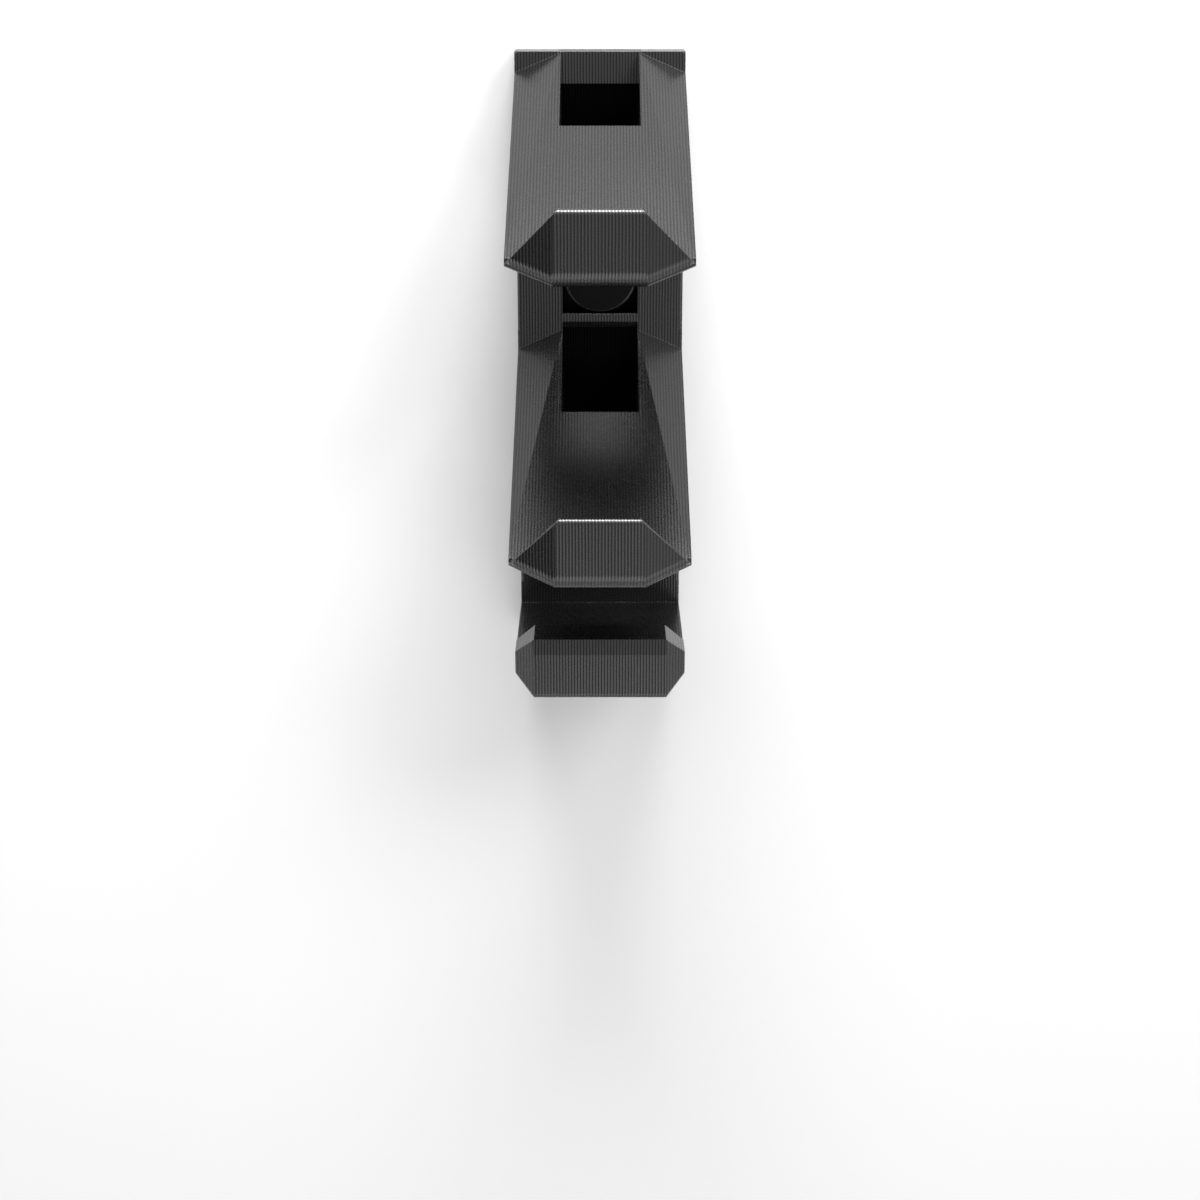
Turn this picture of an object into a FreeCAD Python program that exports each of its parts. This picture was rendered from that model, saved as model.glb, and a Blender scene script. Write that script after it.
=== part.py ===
import FreeCAD, Part
import os
import Sketcher
from FreeCAD import Placement, Rotation, Vector

# Game controller wall mount, printed in one piece on its side.
# Frame: origin at the centre of the back face that lies on the wall.
# +Z is up, the front looks along -Y, and X runs across the width.

# Driving sizes in millimetres and degrees
SIZES = {
    # spine against the wall
    "spine_width": 60,
    "spine_depth": 14,
    "spine_top": 110,
    "spine_bottom": -108,
    "spine_edge": 1,
    # open channel down the middle of the spine
    "channel_width": 27.4,
    "channel_back": 4,
    "channel_top": 99,
    "bar_top": 17.6,
    "bar_height": 2.9,
    "bar_bevel": 2.3,
    # controller cradles, the lower one a copy of the upper one
    "cradle_pitch": 98,
    "cradle_base": 45.4,
    "cradle_reach": 111,
    "floor_angle": 29.7,
    "trough_height": 6.1,
    "lip_foot": 9,
    "lip_rise": 24.4,
    "keel_rise": 4.9,
    "lip_tip": 2.2,
    "lip_face": 29,
    "lip_crown": 25.8,
    "lip_round": 1.8,
    "lip_belly": 5.5,
    "corner_notch": 3,
    "hip_drop": 7,
    "slot_length": 38,
    # headset hook
    "hook_reach": 66.5,
    "hook_base": -106.9,
    "hook_height": 22,
    "hook_corner": 6.8,
    "hook_floor": 13.6,
    "hook_lip": 16,
    "hook_lip_foot": 20,
    "hook_belly": 1.8,
    "hook_brow": 5.6,
    "hook_lean": 0.45,
    # wall screws and their covers
    "screw_height": 31.4,
    "boss_diameter": 18,
    "boss_height": 5.5,
    "screw_shank": 4,
    "screw_thread": 4.5,
    "thread_start": 0.5,
    "screw_hole": 5,
    "screw_head": 9,
    "screw_length": 45,
    "screw_seat_gap": 0.1,
    "cover_diameter": 26.4,
    "cover_front": 2,
    "cover_edge": 0.8,
    "cover_fit": 0.1,
    "cover_gap": 0.3,
}

doc = FreeCAD.newDocument("controller_wall_mount")
sheet = doc.addObject("Spreadsheet::Sheet", "Sizes")
for row, (alias, value) in enumerate(SIZES.items(), start=1):
    sheet.set(f"A{row}", alias)
    sheet.set(f"B{row}", str(value))
    sheet.setAlias(f"B{row}", alias)
doc.recompute()


def bound(text):
    """Turn size names in a formula into references to the sheet."""
    out = []
    word = ""
    for letter in text + " ":
        if letter.isalnum() or letter in "_.":
            word += letter
            continue
        out.append("Sizes." + word if word in SIZES else word)
        out.append(letter)
        word = ""
    return "".join(out).strip()


def number(text):
    """Value of a formula written with size names."""
    return float(sheet.evalExpression(bound(text)))


def new_body(label):
    body = doc.addObject("PartDesign::Body", label)
    body.Label = label
    return body


def new_sketch(body, name, plane, offset="0"):
    """Sketch on one of the body's own origin planes, moved along its normal."""
    sketch = body.newObject("Sketcher::SketchObject", name)
    side = [item for item in body.Origin.OriginFeatures if item.Role == plane][0]
    sketch.AttachmentSupport = [(side, "")]
    sketch.MapMode = "FlatFace"
    sketch.setExpression(".AttachmentOffset.Base.z", bound(offset))
    return sketch


def outline(sketch, corners):
    """Closed polygon whose corners are pairs of formulas."""
    spots = [Vector(number(across), number(up), 0) for across, up in corners]
    for index, spot in enumerate(spots):
        sketch.addGeometry(Part.LineSegment(spot, spots[(index + 1) % len(spots)]), False)
    for index in range(len(spots)):
        sketch.addConstraint(Sketcher.Constraint("Coincident", index, 2, (index + 1) % len(spots), 1))
    for index, (across, up) in enumerate(corners):
        for kind, formula in (("DistanceX", across), ("DistanceY", up)):
            place = sketch.addConstraint(Sketcher.Constraint(kind, -1, 1, index, 1, number(formula)))
            sketch.setExpression(f"Constraints[{place}]", bound(formula))
    return sketch


def circle(sketch, diameter, up="0"):
    """Circle on the vertical axis of its sketch."""
    centre = Vector(0, number(up), 0)
    sketch.addGeometry(Part.Circle(centre, Vector(0, 0, 1), number(diameter) / 2), False)
    place = sketch.addConstraint(Sketcher.Constraint("Diameter", 0, number(diameter)))
    sketch.setExpression(f"Constraints[{place}]", bound(diameter))
    sketch.addConstraint(Sketcher.Constraint("PointOnObject", 0, 3, -2))
    place = sketch.addConstraint(Sketcher.Constraint("DistanceY", -1, 1, 0, 3, number(up)))
    sketch.setExpression(f"Constraints[{place}]", bound(up))
    return sketch


def pad_across(body, name, corners, width="spine_width"):
    """Side profile drawn in Y and Z, padded evenly to both sides."""
    pad = body.newObject("PartDesign::Pad", name)
    pad.Profile = outline(new_sketch(body, name + "_profile", "YZ_Plane"), corners)
    pad.Midplane = True
    pad.setExpression("Length", bound(width))
    return pad


def cut(body, name, sketch, depth, towards_normal=False):
    """Pocket that has to take material away."""
    before = body.Shape.Volume
    pocket = body.newObject("PartDesign::Pocket", name)
    pocket.Profile = sketch
    pocket.Reversed = towards_normal
    pocket.setExpression("Length", bound(depth))
    doc.recompute()
    if not body.Shape.Volume < before - 0.01:
        raise RuntimeError(name + " cut nothing")
    return pocket


def cut_across(body, name, corners):
    """Side profile drawn in Y and Z, cut evenly to both sides."""
    pocket = cut(body, name, outline(new_sketch(body, name + "_profile", "YZ_Plane"), corners), WIDE)
    pocket.Midplane = True
    doc.recompute()


def edges_where(shape, test):
    """Names of the edges that pass the test all along."""
    names = []
    for index, edge in enumerate(shape.Edges, start=1):
        if all(test(spot) for spot in edge.discretize(5)):
            names.append(f"Edge{index}")
    return names


def dress(body, kind, name, test, size_name, size):
    """Fillet or chamfer on the edges of the body's tip that pass the test."""
    doc.recompute()
    tip = body.Tip
    names = edges_where(tip.Shape, test)
    if not names:
        raise RuntimeError(name + " found no edge")
    feature = body.newObject("PartDesign::" + kind, name)
    feature.Base = (tip, names)
    feature.setExpression(size_name, bound(size))
    doc.recompute()
    return feature


def close(first, second):
    return abs(first - second) < 0.01


# Heights of the upper cradle and of the lower one
CRADLES = (("upper", "cradle_base"), ("lower", "cradle_base - cradle_pitch"))
SCREWS = (("upper", "screw_height"), ("lower", "screw_height - cradle_pitch"))
FRONT = "-(spine_depth + cradle_reach)"
TROUGH = "-(spine_depth + cradle_reach - lip_foot)"
HALF = "spine_width / 2"
WIDE = "(spine_width + 2 * lip_foot)"
FLOOR_RISE = "(cradle_reach - lip_foot) * tan(floor_angle)"
SLOPE = f"(hip_drop / ({HALF} - channel_width / 2))"

NOSE = "-(spine_depth + hook_reach)"

# Each front: lower edge, height, half width and place of its face, with the rise of the keel before the place
# and the depth of the cheeks after it
LIPS = (
    ("upper", "cradle_base", "lip_rise", "lip_face / 2", "keel_rise", FRONT, "lip_foot"),
    ("lower", "cradle_base - cradle_pitch", "lip_rise", "lip_face / 2", "keel_rise", FRONT, "lip_foot"),
    ("hook", "hook_base", "hook_height", f"({HALF} - hook_corner)", "hook_corner", NOSE, "hook_corner"),
)


def build_mount():
    """Spine, two cradles and hook, all one print."""
    body = new_body("mount_body")

    pad_across(body, "spine", [
        ("0", "spine_bottom"),
        ("0", "spine_top"),
        ("-spine_depth", "spine_top"),
        ("-spine_depth", "spine_bottom"),
    ])
    doc.recompute()
    dress(body, "Chamfer", "spine_edges",
          lambda spot: close(spot.y, -number("spine_depth")) and close(abs(spot.x), number(HALF)),
          "Size", "spine_edge")

    for side, base in CRADLES:
        root = f"{base} + trough_height + {FLOOR_RISE}"
        pad_across(body, side + "_cradle", [
            ("-channel_back", base),
            (FRONT, base),
            (FRONT, f"{base} + lip_rise"),
            (TROUGH, f"{base} + lip_rise"),
            ("-spine_depth", root),
            ("-channel_back", root),
        ], WIDE)
    pad_across(body, "headset_hook", [
        ("-channel_back", "hook_base"),
        (NOSE, "hook_base"),
        (NOSE, "hook_base + hook_height"),
        ("-channel_back", "hook_base + hook_height"),
    ], WIDE)
    doc.recompute()

    round_bellies(body, "belly", lambda across, inner: 0)
    cut_fronts(body)
    round_bellies(body, "bilge", lambda across, inner: (across - inner) / (number(HALF) - inner))
    cut_troughs(body)
    lean_hook(body)
    trim_sides(body)
    cut_crowns(body)
    cut_hips(body)
    cut_channel(body)
    add_bosses(body)
    return body


def cut_fronts(body):
    """Slanting keel and cheeks at the front of each cradle and of the hook."""
    for side, base, height, fold, rise, front, depth in LIPS:
        for hand, sign in (("left", "-1"), ("right", "1")):
            outer = f"{sign} * ({WIDE})"
            run = f"(({WIDE}) - {fold}) / ({HALF} - {fold})"
            keel = outline(new_sketch(body, f"{side}_{hand}_keel_sketch", "XZ_Plane", "spine_depth"), [
                (f"{sign} * {fold}", base),
                (outer, f"{base} + {rise} * {run}"),
                (outer, f"{base} - 1"),
                (f"{sign} * {fold}", f"{base} - 1"),
            ])
            cut(body, f"{side}_{hand}_keel", keel, f"-({front}) - spine_depth + 1", True)
            above = new_sketch(body, f"{side}_{hand}_cheek_sketch", "XY_Plane", f"{base} + {height} + 1")
            cheek = outline(above, [
                (f"{sign} * {fold}", front),
                (outer, f"{front} + {depth} * {run}"),
                (outer, f"{front} - 1"),
                (f"{sign} * {fold}", f"{front} - 1"),
            ])
            cut(body, f"{side}_{hand}_cheek", cheek, f"{height} + 2")


def round_bellies(body, word, share):
    """Soft lower front edge of each front; share is how far out on the slant a place lies."""
    for side, base, height, fold, rise, front, depth in LIPS:
        low, inner, slant, nose, back = (number(text) for text in (base, fold, rise, front, depth))

        def on_edge(spot):
            out = share(abs(spot.x), inner)
            return close(spot.z, low + slant * out) and close(spot.y, nose + back * out)

        dress(body, "Fillet", f"{side}_{word}", on_edge,
              "Radius", "hook_belly" if side == "hook" else "lip_belly")


def cut_troughs(body):
    """Room behind each lip, above the sloping floor of a cradle or the level floor of the hook."""
    for side, base in CRADLES:
        root = f"{base} + trough_height + {FLOOR_RISE}"
        cut_across(body, side + "_trough", [
            (f"{FRONT} + lip_tip", f"{base} + lip_rise"),
            (TROUGH, f"{base} + trough_height"),
            ("-spine_depth", root),
            (f"{FRONT} + lip_tip", root),
        ])
    cut_across(body, "hook_trough", [
        (f"{NOSE} + hook_lip", "hook_base + hook_height"),
        (f"{NOSE} + hook_lip_foot", "hook_base + hook_floor"),
        ("-spine_depth", "hook_base + hook_floor"),
        ("-spine_depth", "hook_base + hook_height"),
    ])


def lean_hook(body):
    """Upper part of the hook's front leans back a little."""
    cut_across(body, "hook_lean", [
        (NOSE, "hook_base + hook_height - hook_brow"),
        (f"{NOSE} + hook_lean", "hook_base + hook_height"),
        (f"{NOSE} - 1", "hook_base + hook_height"),
        (f"{NOSE} - 1", "hook_base + hook_height - hook_brow"),
    ])


def trim_sides(body):
    """Everything beyond the width of the spine comes off."""
    for hand, sign in (("left", "-1"), ("right", "1")):
        side = outline(new_sketch(body, f"{hand}_trim_sketch", "XY_Plane", "spine_top + spine_depth"), [
            (f"{sign} * {HALF}", "1"),
            (f"{sign} * {WIDE}", "1"),
            (f"{sign} * {WIDE}", f"{FRONT} - 1"),
            (f"{sign} * {HALF}", f"{FRONT} - 1"),
        ])
        cut(body, f"{hand}_trim", side, "spine_top + spine_depth - spine_bottom + 1")


def cut_crowns(body):
    """Slanting shoulders of each lip, its soft top edge, and the ears of the hook."""
    for hand, sign in (("left", "-1"), ("right", "1")):
        outer = f"{sign} * ({HALF} + 1)"
        for side, base in CRADLES:
            behind = new_sketch(body, f"{side}_{hand}_crown_profile", "XZ_Plane",
                                f"-({TROUGH}) - corner_notch")
            crown = outline(behind, [
                (f"{sign} * lip_crown / 2", f"{base} + lip_rise"),
                (f"{sign} * {HALF}", f"{base} + trough_height"),
                (outer, f"{base} + trough_height"),
                (outer, f"{base} + lip_rise + 1"),
                (f"{sign} * lip_crown / 2", f"{base} + lip_rise + 1"),
            ])
            cut(body, f"{side}_{hand}_crown", crown, "lip_foot + corner_notch + 1", True)
        ear = outline(new_sketch(body, f"hook_{hand}_ear_sketch", "XZ_Plane", "spine_depth"), [
            (f"{sign} * ({HALF} - hook_corner)", "hook_base + hook_height"),
            (f"{sign} * {HALF}", "hook_base + hook_height - hook_corner"),
            (outer, "hook_base + hook_height - hook_corner"),
            (outer, "hook_base + hook_height + 1"),
            (f"{sign} * ({HALF} - hook_corner)", "hook_base + hook_height + 1"),
        ])
        cut(body, f"hook_{hand}_ear", ear, "hook_reach + 1", True)
    for side, base in CRADLES:
        top = number(f"{base} + lip_rise")
        dress(body, "Fillet", side + "_lip_top",
              lambda spot: close(spot.y, number(FRONT)) and close(spot.z, top),
              "Radius", "lip_round")


def cut_hips(body):
    """Sloping sides of each cradle floor, from nothing at the trough to the full drop at the spine."""
    for side, base in CRADLES:
        root = f"({base} + trough_height + {FLOOR_RISE})"
        for hand, sign in (("left", "-1"), ("right", "1")):
            names = []
            for end, shift, inner, level in (
                ("root", "spine_depth", "channel_width / 2", root),
                ("trough", f"-({TROUGH})", f"{HALF} - 0.5", f"({base} + trough_height + 0.5 * {SLOPE})"),
            ):
                outer = f"({HALF} + 1)"
                names.append(outline(new_sketch(body, f"{side}_{hand}_hip_{end}", "XZ_Plane", shift), [
                    (f"{sign} * {inner}", level),
                    (f"{sign} * {outer}", f"{level} - ({outer} - {inner}) * {SLOPE}"),
                    (f"{sign} * {outer}", f"{level} + ({outer} - {inner}) * 0.5"),
                ]))
            before = body.Shape.Volume
            loft = body.newObject("PartDesign::SubtractiveLoft", f"{side}_{hand}_hip")
            loft.Profile = names[0]
            loft.Sections = [names[1]]
            loft.Ruled = True
            doc.recompute()
            if not body.Shape.Volume < before - 0.01:
                raise RuntimeError(side + hand + " hip cut nothing")


def cut_channel(body):
    """Open channel in the spine, crossed by a bar below each screw, and its way through the cradle floors."""
    half = "channel_width / 2"
    for side, drop in (("upper", "0"), ("lower", "cradle_pitch")):
        ceiling = "channel_top" if side == "upper" else "bar_top - bar_height - bar_bevel"
        floor = f"bar_top - {drop}"
        window = outline(new_sketch(body, side + "_channel_sketch", "XZ_Plane", "spine_depth"), [
            (f"-{half}", floor),
            (half, floor),
            (half, ceiling),
            (f"-{half}", ceiling),
        ])
        cut(body, side + "_channel", window, "spine_depth - channel_back")
        bevel = outline(new_sketch(body, side + "_bar_bevel_sketch", "YZ_Plane", "0"), [
            ("-spine_depth", f"{floor} - bar_height"),
            ("-spine_depth + bar_bevel", f"{floor} - bar_height - bar_bevel"),
            ("-spine_depth - 1", f"{floor} - bar_height - bar_bevel"),
            ("-spine_depth - 1", f"{floor} - bar_height"),
        ])
        pocket = cut(body, side + "_bar_bevel", bevel, "channel_width")
        pocket.Midplane = True
        doc.recompute()
    slot = outline(new_sketch(body, "cable_slot_sketch", "XY_Plane", "spine_top + spine_depth"), [
        (f"-{half}", "-spine_depth"),
        (half, "-spine_depth"),
        (half, "-spine_depth - slot_length"),
        (f"-{half}", "-spine_depth - slot_length"),
    ])
    cut(body, "cable_slot", slot, "spine_top + spine_depth - cradle_base + cradle_pitch + 1")


def add_bosses(body):
    """Round boss in the channel round each wall screw, with its countersunk hole."""
    for side, height in SCREWS:
        pad = body.newObject("PartDesign::Pad", side + "_boss")
        back = new_sketch(body, side + "_boss_sketch", "XZ_Plane", "channel_back")
        pad.Profile = circle(back, "boss_diameter", height)
        pad.setExpression("Length", bound("boss_height"))
        doc.recompute()
        top = new_sketch(body, side + "_hole_sketch", "XZ_Plane", "channel_back + boss_height")
        cut(body, side + "_hole", circle(top, "screw_hole", height), "channel_back + boss_height + 1")
        mouth = Vector(0, -number("channel_back + boss_height"), number(height))
        dress(body, "Chamfer", side + "_countersink",
              lambda spot: close(spot.y, mouth.y) and close((spot - mouth).Length, number("screw_hole / 2")),
              "Size", "(screw_head - screw_hole) / 2 + screw_seat_gap")


def build_cover(side, height):
    """Hollow round cover pressed over the boss, flush with the front of the spine."""
    body = new_body(side + "_screw_cover")
    disc = body.newObject("PartDesign::Pad", "disc")
    back = new_sketch(body, "disc_sketch", "XZ_Plane", "channel_back + cover_gap")
    disc.Profile = circle(back, "cover_diameter")
    disc.setExpression("Length", bound("spine_depth - channel_back - cover_gap"))
    doc.recompute()
    inside = new_sketch(body, "hollow_sketch", "XZ_Plane", "spine_depth - cover_front")
    hollow = circle(inside, "boss_diameter + 2 * cover_fit")
    cut(body, "hollow", hollow, "spine_depth - cover_front - channel_back")
    dress(body, "Chamfer", "rim",
          lambda spot: close(spot.y, -number("spine_depth")), "Size", "cover_edge")
    body.setExpression(".Placement.Base.z", bound(height))
    return body


def build_screw(side, height):
    """Countersunk wall screw turned about its own axis."""
    body = new_body(side + "_wall_screw")
    seat = "(channel_back + boss_height)"
    head = "(screw_head - screw_shank) / 2"
    profile = outline(new_sketch(body, "turned_sketch", "XY_Plane"), [
        ("0", f"-{seat}"),
        ("screw_head / 2", f"-{seat}"),
        ("screw_shank / 2", f"-{seat} + {head}"),
        ("screw_shank / 2", "thread_start"),
        ("screw_thread / 2", "thread_start"),
        ("screw_thread / 2", f"-{seat} + screw_length - screw_thread * 1.5"),
        ("0", f"-{seat} + screw_length"),
    ])
    turn = body.newObject("PartDesign::Revolution", "turned")
    turn.Profile = profile
    turn.ReferenceAxis = (profile, ["V_Axis"])
    turn.Angle = 360
    doc.recompute()
    body.setExpression(".Placement.Base.z", bound(height))
    return body


pieces = [build_mount()]
for side, height in SCREWS:
    pieces.append(build_cover(side, height))
    pieces.append(build_screw(side, height))
doc.recompute()

for item in doc.Objects:
    if "Invalid" in item.State or "Error" in item.State:
        raise RuntimeError(f"{item.Label} failed: {item.State}")
for piece in pieces:
    if piece.Shape.isNull() or not piece.Shape.isValid():
        raise RuntimeError(piece.Label + " has no sound shape")

os.makedirs("parts", exist_ok=True)
for piece in pieces:
    piece.Shape.exportStep(f"parts/{piece.Label}.step")
    box = piece.Shape.BoundBox
    print(piece.Label, len(piece.Shape.Solids), round(piece.Shape.Volume, 1),
          [round(v, 2) for v in (box.XMin, box.XMax, box.YMin, box.YMax, box.ZMin, box.ZMax)])
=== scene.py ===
import math

import bmesh
import bpy
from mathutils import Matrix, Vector


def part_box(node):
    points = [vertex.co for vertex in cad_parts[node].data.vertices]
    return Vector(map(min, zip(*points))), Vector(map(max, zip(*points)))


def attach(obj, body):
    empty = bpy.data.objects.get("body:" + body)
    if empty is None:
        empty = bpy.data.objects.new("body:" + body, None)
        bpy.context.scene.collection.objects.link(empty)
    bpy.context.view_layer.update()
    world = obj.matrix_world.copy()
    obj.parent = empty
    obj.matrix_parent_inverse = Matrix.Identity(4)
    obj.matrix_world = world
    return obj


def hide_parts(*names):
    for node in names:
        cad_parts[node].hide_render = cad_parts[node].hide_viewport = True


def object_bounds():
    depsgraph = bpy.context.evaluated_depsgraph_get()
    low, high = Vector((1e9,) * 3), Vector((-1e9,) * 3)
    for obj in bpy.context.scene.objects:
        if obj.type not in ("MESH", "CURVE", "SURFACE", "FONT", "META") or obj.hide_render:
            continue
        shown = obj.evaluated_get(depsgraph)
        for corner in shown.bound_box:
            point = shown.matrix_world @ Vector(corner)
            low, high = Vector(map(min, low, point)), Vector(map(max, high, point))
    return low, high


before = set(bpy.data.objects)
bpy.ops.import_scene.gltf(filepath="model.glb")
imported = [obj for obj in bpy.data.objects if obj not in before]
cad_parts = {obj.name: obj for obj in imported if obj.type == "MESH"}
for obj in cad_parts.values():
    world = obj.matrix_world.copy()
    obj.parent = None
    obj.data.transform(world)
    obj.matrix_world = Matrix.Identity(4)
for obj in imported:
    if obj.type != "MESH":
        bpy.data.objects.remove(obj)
cad_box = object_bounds()

MM = 0.001

# Camera of the photo, worked out from its perspective
EYE = Vector((0.0, -738.5, 150.0)) * MM
PITCH_DOWN = 18.5
LENS = 60.0
SENSOR = 36.0
NEAREST = 0.01
FARTHEST = 50.0

# Print lines stand upright, side by side across the width, and waver by a share of their pitch
PRINT_BLACK = (0.0045, 0.0045, 0.0047)
LINE_PITCH = 1.05 * MM
LINE_DEPTH = 0.028 * MM
LINE_WAVER = 0.25
WAVER_SCALE = 90.0
LINE_TONE = (0.75, 1.25)
LINE_GLOSS = (0.32, 0.66)

# Part of a face's normal that looks up or down, or to a side, from where the lines fade to where few are left
LEVEL_FADE = (0.55, 0.95)
LEVEL_LINES = 0.15
SIDE_FADE = (0.7, 0.95)
SIDE_LINES = 0.1

# Roughness of the print: the grain's, what handling adds in patches, and what worn edges add
GRAIN_ROUGHNESS = (0.22, 0.29)
HANDLED_ROUGHNESS = 0.03
EDGE_ROUGHNESS = 0.1
GRAIN_SCALE = 2500.0
GRAIN_STRENGTH = 0.25
GRAIN_DEPTH = 0.02 * MM
PATCH_SCALE = 28.0
PATCHES = (0.35, 0.65)
EDGE_RADIUS = 0.3 * MM
EDGE_SAMPLES = 6
EDGE_FADE = (0.985, 0.9)
EDGE_TONE = 1.8

# The channel looks nearly black, so inside it the print gets painted shade: a darker tone and a lower gloss.
# The mask has no limit in height, so it also darkens the middle of the spine's top and bottom faces
RECESS_DEPTHS = (-11.6 * MM, -10.8 * MM)
RECESS_BACK = -1.0 * MM
RECESS_HALF = 14.5 * MM
RECESS_PAINTED_SHADE = 0.2
RECESS_SHADE_GLOSS = 0.06

# The bevel below each bar is painted a little lighter, as painted light, and undersides get a lower gloss, as
# painted shade
BAR_FRONT = -14.2 * MM
BEVEL_SLANT = -0.5
BEVEL_PAINTED_LIGHT = 3.5
UNDERSIDE_FADE = (-0.92, -0.78)
UNDERSIDE_SHADE_GLOSS = 0.08
UNDERSIDE_ASIDE = 0.35
UNDERSIDE_ASIDE_SHARE = -0.8

COVER_BLACK = (0.0035, 0.0035, 0.0037)
COVER_ROUGHNESS = (0.42, 0.58)
COVER_EDGE_ROUGHNESS = -0.08
COVER_GRAIN_SCALE = 1800.0
COVER_GRAIN_STRENGTH = 0.5
COVER_GRAIN_DEPTH = 0.03 * MM
COVER_FACE = -0.9
COVER_FACE_GLOSS = 0.04
COVER_RIM_GLOSS = 0.9

ZINC = (0.62, 0.61, 0.58)
ZINC_ROUGHNESS = (0.24, 0.42)
TURNING_STRENGTH = 0.3
TURNING_DEPTH = 0.02 * MM
TURNING_SCALE = (300.0, 4000.0, 300.0)

# Part of a noise's range that holds most of its values
NOISE = (0.3, 0.7)

# Wood screws: head with a cross recess, smooth shank, and a thread with a point
HEAD_RADIUS = 4.5 * MM
SHANK_RADIUS = 2.0 * MM
CROSS_MOUTH = (0.6 * MM, 2.4 * MM)
CROSS_BOTTOM = (0.4 * MM, 1.5 * MM)
CROSS_DEPTH = 2.2 * MM
THREAD_START = 0.5 * MM
THREAD_CREST = 2.25 * MM
THREAD_ROOT = 1.5 * MM
THREAD_PITCH = 1.8 * MM
THREAD_FADE = 2.0 * MM
CREST_SHARE = 0.32
POINT_LENGTH = 6.0 * MM
POINT_BULGE = 0.75
POINT_TIP = 0.02 * MM
AROUND = 24
RINGS_PER_TURN = 9.0

# Brightness of the room, the dark part of it at the front left, and the shares that reach the other sides
ROOM = 1.08
DARK_SIDE = Vector((-0.66, -0.70, -0.25)).normalized()
DARK_FADE = (0.74, 0.93)
DARK_SHARE = 0.02
RIGHT_FADE = (0.15, 0.75)
RIGHT_SHARE = 0.62
ABOVE_FADE = (0.2, 0.8)
ABOVE_SHARE = 1.4
BELOW_FADE = (-0.43, -0.3)
BELOW_SHARE = 3.2
UNDER_FADE = (-0.7, -0.45)
UNDER_SHARE = 0.75

# Name, place, target, size and power of each lamp
LAMPS = (
    ("key", (1.1, -1.3, 1.3), (0.0, -0.05, 0.0), 0.9, 26.0),
    ("overhead", (0.0, -0.4, 1.2), (0.0, -0.1, 0.0), 0.7, 39.0),
)

WALL_WHITE = (0.56, 0.56, 0.56)
WALL_BACK = 0.3 * MM
WALL_REACH = 3.0
WALL_INSET = 1.5 * MM
FLOOR_WHITE = (0.8, 0.8, 0.8)
FLOOR_DROP = -2.5
FLOOR_REACH = 1.5


def link(name, data):
    item = bpy.data.objects.new(name, data)
    bpy.context.scene.collection.objects.link(item)
    return item


def make_camera():
    data = bpy.data.cameras.new("camera")
    data.lens = LENS
    data.sensor_width = SENSOR
    data.clip_start = NEAREST
    data.clip_end = FARTHEST
    camera = link("camera", data)
    camera.location = EYE
    camera.rotation_euler = (math.radians(90.0 - PITCH_DOWN), 0.0, 0.0)
    bpy.context.scene.camera = camera


class Nodes:
    """Small helper that adds and links nodes in the tree of a material or of the world."""

    def __init__(self, owner, output="ShaderNodeOutputMaterial"):
        owner.use_nodes = True
        self.tree = owner.node_tree
        self.tree.nodes.clear()
        self.output = self.add(output)

    def add(self, kind, inputs=None, **settings):
        node = self.tree.nodes.new(kind)
        for key, value in settings.items():
            setattr(node, key, value)
        for key, value in (inputs or {}).items():
            if isinstance(value, bpy.types.NodeSocket):
                self.tree.links.new(value, node.inputs[key])
            else:
                node.inputs[key].default_value = value
        return node

    def math(self, operation, *values):
        return self.add("ShaderNodeMath", dict(enumerate(values)), operation=operation).outputs[0]

    def size_of(self, value):
        return self.math("ABSOLUTE", value)

    def times(self, first, *others):
        for other in others:
            first = self.math("MULTIPLY", first, other)
        return first

    def ramp(self, value, low, high, low_out, high_out, **settings):
        inputs = {"Value": value, "From Min": low, "From Max": high, "To Min": low_out, "To Max": high_out}
        return self.add("ShaderNodeMapRange", inputs, **settings).outputs[0]

    def to_share(self, part, share):
        """1 where part is 0, and share where it is 1."""
        return self.ramp(part, 0.0, 1.0, 1.0, share)

    def dot(self, first, second):
        return self.add("ShaderNodeVectorMath", {0: first, 1: second}, operation="DOT_PRODUCT").outputs["Value"]

    def split(self, vector):
        return self.add("ShaderNodeSeparateXYZ", {"Vector": vector}).outputs

    def spot(self):
        return self.add("ShaderNodeTexCoord").outputs["Object"]

    def normal(self):
        return self.add("ShaderNodeNewGeometry").outputs["Normal"]

    def noise(self, vector, scale, detail):
        inputs = {"Vector": vector, "Scale": scale, "Detail": detail}
        return self.add("ShaderNodeTexNoise", inputs).outputs["Fac"]

    def bump(self, height, strength, distance, **inputs):
        inputs = {"Height": height, "Strength": strength, "Distance": distance, **inputs}
        return self.add("ShaderNodeBump", inputs).outputs[0]

    def surface(self, shader):
        self.tree.links.new(shader.outputs[0], self.output.inputs["Surface"])


def principled(name, colour, roughness, gloss, metallic=0.0):
    """Material with one shader, its nodes, and a function that links sockets, which are plain until then."""
    material = bpy.data.materials.new(name)
    nodes = Nodes(material)
    inputs = {"Base Color": (*colour, 1.0), "Roughness": roughness, "Metallic": metallic}
    shader = nodes.add("ShaderNodeBsdfPrincipled", {**inputs, "Specular IOR Level": gloss})
    nodes.surface(shader)

    def drive(**links):
        for key, socket in links.items():
            nodes.tree.links.new(socket, shader.inputs[key.replace("_", " ")])

    return material, nodes, drive


def soft_edges(nodes):
    """Normal that turns smoothly over the edges, and how near an edge is: 0 on a face, 1 on the edge."""
    rounded = nodes.add("ShaderNodeBevel", {"Radius": EDGE_RADIUS}, samples=EDGE_SAMPLES).outputs[0]
    return rounded, nodes.ramp(nodes.dot(rounded, nodes.normal()), *EDGE_FADE, 0.0, 1.0)


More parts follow.
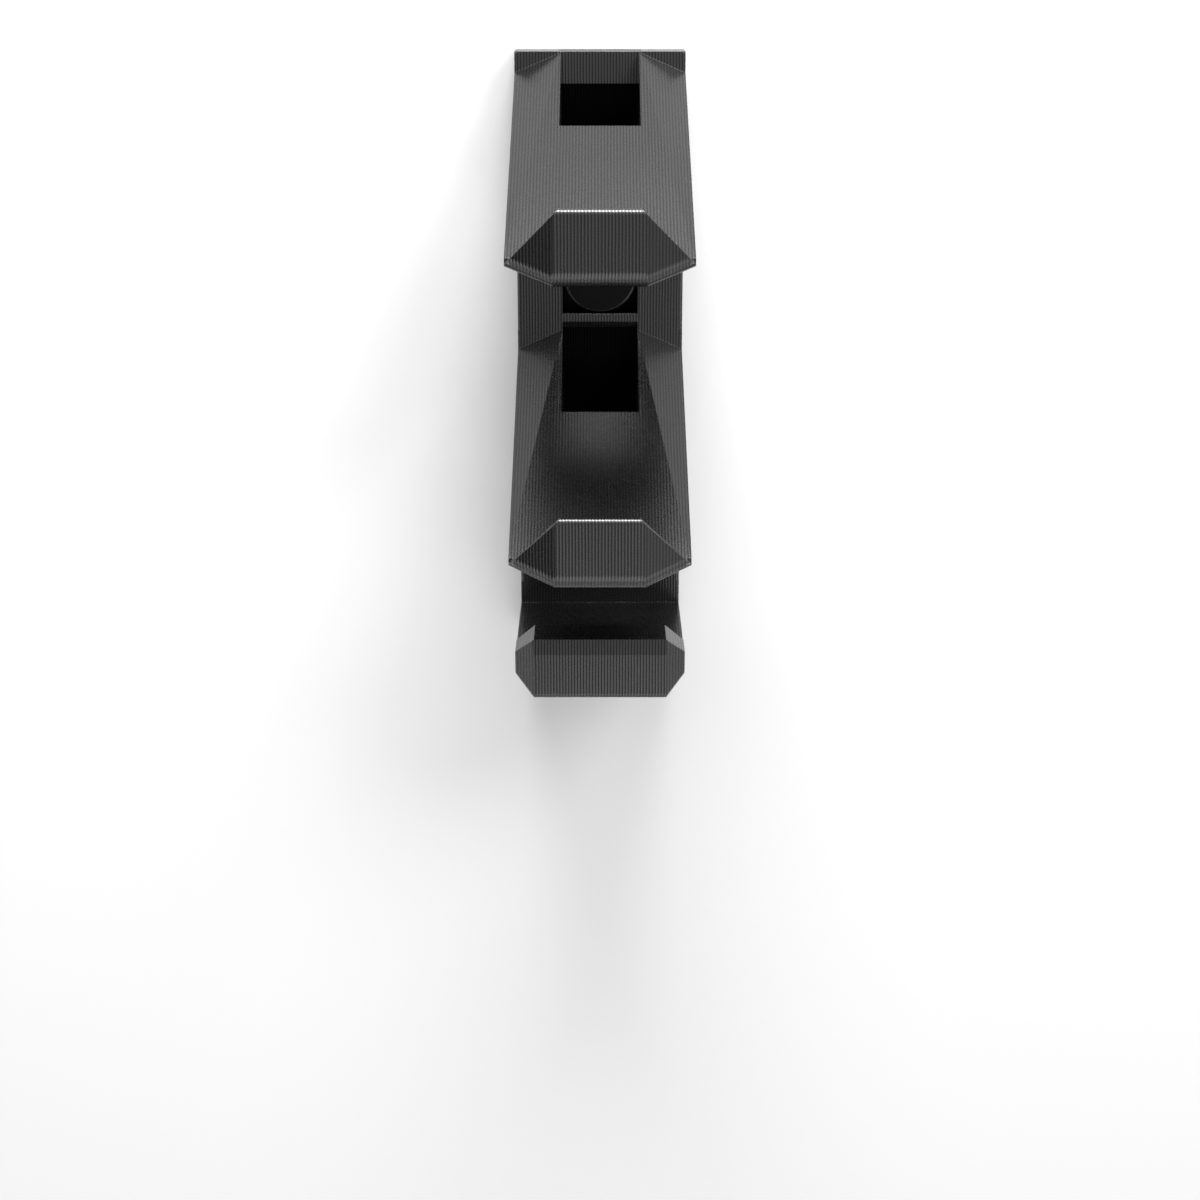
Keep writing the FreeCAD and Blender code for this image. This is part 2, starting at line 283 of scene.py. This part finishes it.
def print_wave(nodes, spot, across):
    """Wave from -1 between two print lines to 1 on a line."""
    waver = nodes.noise(spot, WAVER_SCALE, 2.0)
    layer = nodes.math("MULTIPLY", across, 1.0 / LINE_PITCH)
    layer = nodes.math("ADD", layer, nodes.math("MULTIPLY", waver, LINE_WAVER))
    return nodes.math("COSINE", nodes.math("MULTIPLY", layer, 2.0 * math.pi))


def printed_plastic():
    """Satin black print, with upright print lines that fade on faces that look up, down or to a side."""
    material, nodes, drive = principled("printed_plastic", PRINT_BLACK, 0.3, 0.5)
    spot = nodes.spot()
    place = nodes.split(spot)
    facing = nodes.split(nodes.normal())
    rounded, edge = soft_edges(nodes)
    turned = nodes.split(rounded)
    wave = print_wave(nodes, spot, place["X"])
    level = nodes.ramp(nodes.size_of(facing["Z"]), *LEVEL_FADE, 1.0, LEVEL_LINES)
    sideways = nodes.ramp(nodes.size_of(facing["X"]), *SIDE_FADE, 1.0, SIDE_LINES)
    lined = nodes.bump(wave, nodes.times(level, sideways), LINE_DEPTH, Normal=rounded)

    fine = nodes.noise(spot, GRAIN_SCALE, 3.0)
    grained = nodes.bump(fine, GRAIN_STRENGTH, GRAIN_DEPTH, Normal=lined)
    handled = nodes.ramp(nodes.noise(spot, PATCH_SCALE, 4.0), *PATCHES, 0.0, HANDLED_ROUGHNESS)
    rough = nodes.math("ADD", nodes.ramp(fine, *NOISE, *GRAIN_ROUGHNESS), handled)
    rough = nodes.math("ADD", rough, nodes.math("MULTIPLY", edge, EDGE_ROUGHNESS))

    # Painted shade: inside the channel the print gets a darker tone and a lower gloss
    deep = nodes.ramp(place["Y"], *RECESS_DEPTHS, 0.0, 1.0)
    inside = nodes.math("LESS_THAN", nodes.size_of(place["X"]), RECESS_HALF)
    off_wall = nodes.math("LESS_THAN", place["Y"], RECESS_BACK)
    recess = nodes.times(deep, inside, off_wall)
    # Painted light: the slanted bevel below each bar gets a lighter tone
    slanted = nodes.math("LESS_THAN", facing["Z"], BEVEL_SLANT)
    bevel = nodes.times(slanted, inside, nodes.math("GREATER_THAN", place["Y"], BAR_FRONT))
    tone = nodes.times(nodes.ramp(wave, -1.0, 1.0, *LINE_TONE), nodes.to_share(recess, RECESS_PAINTED_SHADE),
                       nodes.to_share(edge, EDGE_TONE), nodes.to_share(bevel, BEVEL_PAINTED_LIGHT))
    colour = nodes.add("ShaderNodeVectorMath", {0: PRINT_BLACK, 1: tone}, operation="MULTIPLY").outputs[0]

    # Painted shade: faces that turn down, less so toward the sides, get a lower gloss
    aside = nodes.math("MINIMUM", nodes.size_of(turned["X"]), UNDERSIDE_ASIDE)
    downward = nodes.math("MULTIPLY_ADD", aside, UNDERSIDE_ASIDE_SHARE, turned["Z"])
    gloss = nodes.times(nodes.ramp(wave, -1.0, 1.0, *LINE_GLOSS), nodes.to_share(recess, RECESS_SHADE_GLOSS),
                        nodes.ramp(downward, *UNDERSIDE_FADE, UNDERSIDE_SHADE_GLOSS, 1.0))
    drive(Specular_IOR_Level=gloss, Base_Color=colour, Roughness=rough, Normal=grained)
    return material


def cover_plastic():
    """Duller black of the round covers, with a fine grain and a glossier rim."""
    material, nodes, drive = principled("cover_plastic", COVER_BLACK, 0.5, 0.3)
    face = nodes.math("LESS_THAN", nodes.split(nodes.normal())["Y"], COVER_FACE)
    grain = nodes.noise(nodes.spot(), COVER_GRAIN_SCALE, 4.0)
    rounded, edge = soft_edges(nodes)
    grained = nodes.bump(grain, COVER_GRAIN_STRENGTH, COVER_GRAIN_DEPTH, Normal=rounded)
    worn = nodes.math("MULTIPLY", edge, COVER_EDGE_ROUGHNESS)
    rough = nodes.math("ADD", nodes.ramp(grain, *NOISE, *COVER_ROUGHNESS), worn)
    gloss = nodes.ramp(face, 0.0, 1.0, COVER_RIM_GLOSS, COVER_FACE_GLOSS)
    drive(Specular_IOR_Level=gloss, Roughness=rough, Normal=grained)
    return material


def screw_steel():
    """Zinc-plated steel with faint turning marks."""
    material, nodes, drive = principled("screw_steel", ZINC, 0.32, 0.5, metallic=1.0)
    along = nodes.add("ShaderNodeMapping", {"Vector": nodes.spot(), "Scale": TURNING_SCALE}).outputs[0]
    marks = nodes.noise(along, 1.0, 3.0)
    turned = nodes.bump(marks, TURNING_STRENGTH, TURNING_DEPTH)
    drive(Roughness=nodes.ramp(marks, *NOISE, *ZINC_ROUGHNESS), Normal=turned)
    return material


def dress(node, material):
    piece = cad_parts[node]
    piece.data.materials.clear()
    piece.data.materials.append(material)


def cross_outline(half, reach):
    """Corners of a cross, anticlockwise, as points across and up."""
    points = []
    for across, up in ((1, 1), (-1, 1), (-1, -1), (1, -1)):
        arm = [(across * reach, up * half), (across * half, up * half), (across * half, up * reach)]
        points += arm if across == up else reversed(arm)
    return points


def thread_radius(angle, along, length):
    """Radius of the threaded part at an angle and at a distance from where the thread starts."""
    start = min(1.0, along / THREAD_FADE)
    phase = (along / THREAD_PITCH - angle / (2.0 * math.pi)) % 1.0
    crest = max(0.0, 1.0 - abs(phase - 0.5) / CREST_SHARE)
    root = SHANK_RADIUS + (THREAD_ROOT - SHANK_RADIUS) * start
    point = min(1.0, (length - along) / POINT_LENGTH) ** POINT_BULGE
    return (root + (THREAD_CREST - THREAD_ROOT) * crest * start) * point + POINT_TIP


class Turned:
    """Mesh that is built up from rings and outlines around a line along Y."""

    def __init__(self, centre):
        self.work = bmesh.new()
        self.centre = centre

    def outline(self, points, y):
        return [self.work.verts.new((self.centre.x + x, y, self.centre.z + z)) for x, z in points]

    def ring(self, radius, y):
        """Ring whose radius is a length or a function of the angle."""
        points = []
        for index in range(AROUND):
            angle = 2.0 * math.pi * index / AROUND
            reach = radius(angle) if callable(radius) else radius
            points.append((reach * math.cos(angle), reach * math.sin(angle)))
        return self.outline(points, y)

    def band(self, first, second, smooth=False):
        count = len(first)
        for i in range(count):
            face = self.work.faces.new((first[i], first[(i + 1) % count], second[(i + 1) % count], second[i]))
            face.smooth = smooth

    def fill(self, *loops):
        """Flat face between an outer loop and the loops inside it."""
        pairs = [(loop[i], loop[(i + 1) % len(loop)]) for loop in loops for i in range(len(loop))]
        edges = [self.work.edges.new(pair) for pair in pairs]
        bmesh.ops.triangle_fill(self.work, use_beauty=True, use_dissolve=False, edges=edges)

    def finish(self, name):
        bmesh.ops.recalc_face_normals(self.work, faces=self.work.faces)
        mesh = bpy.data.meshes.new(name)
        self.work.to_mesh(mesh)
        self.work.free()
        return link(name, mesh)


def make_screw(side, material):
    """Countersunk wood screw with a cross recess and a pointed thread, where the plain one of the CAD is."""
    node = side + "_wall_screw"
    low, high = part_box(node)
    length = high.y - THREAD_START
    form = Turned((low + high) / 2.0)
    rim = form.ring(HEAD_RADIUS, low.y)
    mouth = form.outline(cross_outline(*CROSS_MOUTH), low.y)
    bottom = form.outline(cross_outline(*CROSS_BOTTOM), low.y + CROSS_DEPTH)
    form.fill(rim, mouth)
    form.band(mouth, bottom)
    form.work.faces.new(bottom)
    neck = form.ring(SHANK_RADIUS, low.y + HEAD_RADIUS - SHANK_RADIUS)
    form.band(rim, neck)
    last = form.ring(SHANK_RADIUS, THREAD_START)
    form.band(neck, last, smooth=True)
    steps = int(length / (THREAD_PITCH / RINGS_PER_TURN))
    for step in range(1, steps + 1):
        along = length * step / steps
        after = form.ring(lambda angle: thread_radius(angle, along, length), THREAD_START + along)
        form.band(last, after, smooth=True)
        last = after
    form.work.faces.new(last).smooth = True
    piece = form.finish(side + "_screw")
    piece.data.materials.append(material)
    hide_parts(node)
    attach(piece, "root")


def stage_sheet(name, vertices, faces, colour, clear_behind=False):
    """Matt white piece of the stage, which may be clear from behind, so that the mount's back is seen."""
    mesh = bpy.data.meshes.new(name)
    mesh.from_pydata(vertices, [], faces)
    mesh.update()
    material = bpy.data.materials.new("pale_" + name)
    nodes = Nodes(material)
    shader = nodes.add("ShaderNodeBsdfDiffuse", {"Color": (*colour, 1.0)})
    if clear_behind:
        clear = nodes.add("ShaderNodeBsdfTransparent")
        behind = nodes.add("ShaderNodeNewGeometry").outputs["Backfacing"]
        shader = nodes.add("ShaderNodeMixShader", {0: behind, 1: shader.outputs[0], 2: clear.outputs[0]})
    nodes.surface(shader)
    mesh.materials.append(material)
    link(name, mesh)


def make_wall():
    """Pale wall, open behind the spine, that the mount hangs on."""
    low, high = cad_box
    across = (-WALL_REACH, low.x + WALL_INSET, high.x - WALL_INSET, WALL_REACH)
    up = (FLOOR_DROP, low.z + WALL_INSET, high.z - WALL_INSET, WALL_REACH)
    vertices = [(x, WALL_BACK, z) for z in up for x in across]
    starts = [row * 4 + column for row in range(3) for column in range(3) if (row, column) != (1, 1)]
    faces = [(start, start + 1, start + 5, start + 4) for start in starts]
    stage_sheet("wall", vertices, faces, WALL_WHITE, clear_behind=True)


def make_floor():
    """Pale floor at the foot of the wall."""
    corners = ((-WALL_REACH, -FLOOR_REACH), (WALL_REACH, -FLOOR_REACH), (WALL_REACH, WALL_BACK),
               (-WALL_REACH, WALL_BACK))
    stage_sheet("floor", [(x, y, FLOOR_DROP) for x, y in corners], [(0, 1, 2, 3)], FLOOR_WHITE)


def make_sky():
    """White room that is dimmer on the left of the mount, and brighter below and above than in front."""
    world = bpy.data.worlds.new("studio")
    nodes = Nodes(world, "ShaderNodeOutputWorld")
    towards = nodes.add("ShaderNodeTexCoord").outputs["Generated"]
    part = nodes.split(towards)

    def step(*values):
        return nodes.ramp(*values, interpolation_type="SMOOTHSTEP")

    dark = step(nodes.dot(towards, DARK_SIDE), *DARK_FADE, 1.0, DARK_SHARE)
    right = step(part["X"], *RIGHT_FADE, 1.0, RIGHT_SHARE)
    above = step(part["Z"], *ABOVE_FADE, ROOM, ROOM * ABOVE_SHARE)
    below = step(part["Z"], *BELOW_FADE, BELOW_SHARE, 1.0)
    under = step(part["Z"], *UNDER_FADE, UNDER_SHARE, 1.0)
    glow = nodes.times(dark, right, above, below, under)
    seen = nodes.add("ShaderNodeLightPath").outputs["Is Camera Ray"]
    strength = nodes.add("ShaderNodeMix", {"Factor": seen, "A": glow, "B": ROOM}).outputs[0]
    nodes.surface(nodes.add("ShaderNodeBackground", {"Color": (1.0, 1.0, 1.0, 1.0), "Strength": strength}))
    bpy.context.scene.world = world


def make_lamp(name, place, target, size, power):
    data = bpy.data.lights.new(name, "AREA")
    data.shape = "DISK"
    data.size = size
    data.energy = power
    lamp = link(name, data)
    lamp.location = place
    lamp.rotation_euler = (Vector(target) - Vector(place)).to_track_quat("-Z", "Y").to_euler()


make_camera()
make_wall()
make_floor()
make_sky()
for lamp in LAMPS:
    make_lamp(*lamp)
dress("mount_body", printed_plastic())
cover = cover_plastic()
steel = screw_steel()
for side in ("upper", "lower"):
    dress(side + "_screw_cover", cover)
    make_screw(side, steel)
bpy.context.scene.view_settings.view_transform = "Standard"
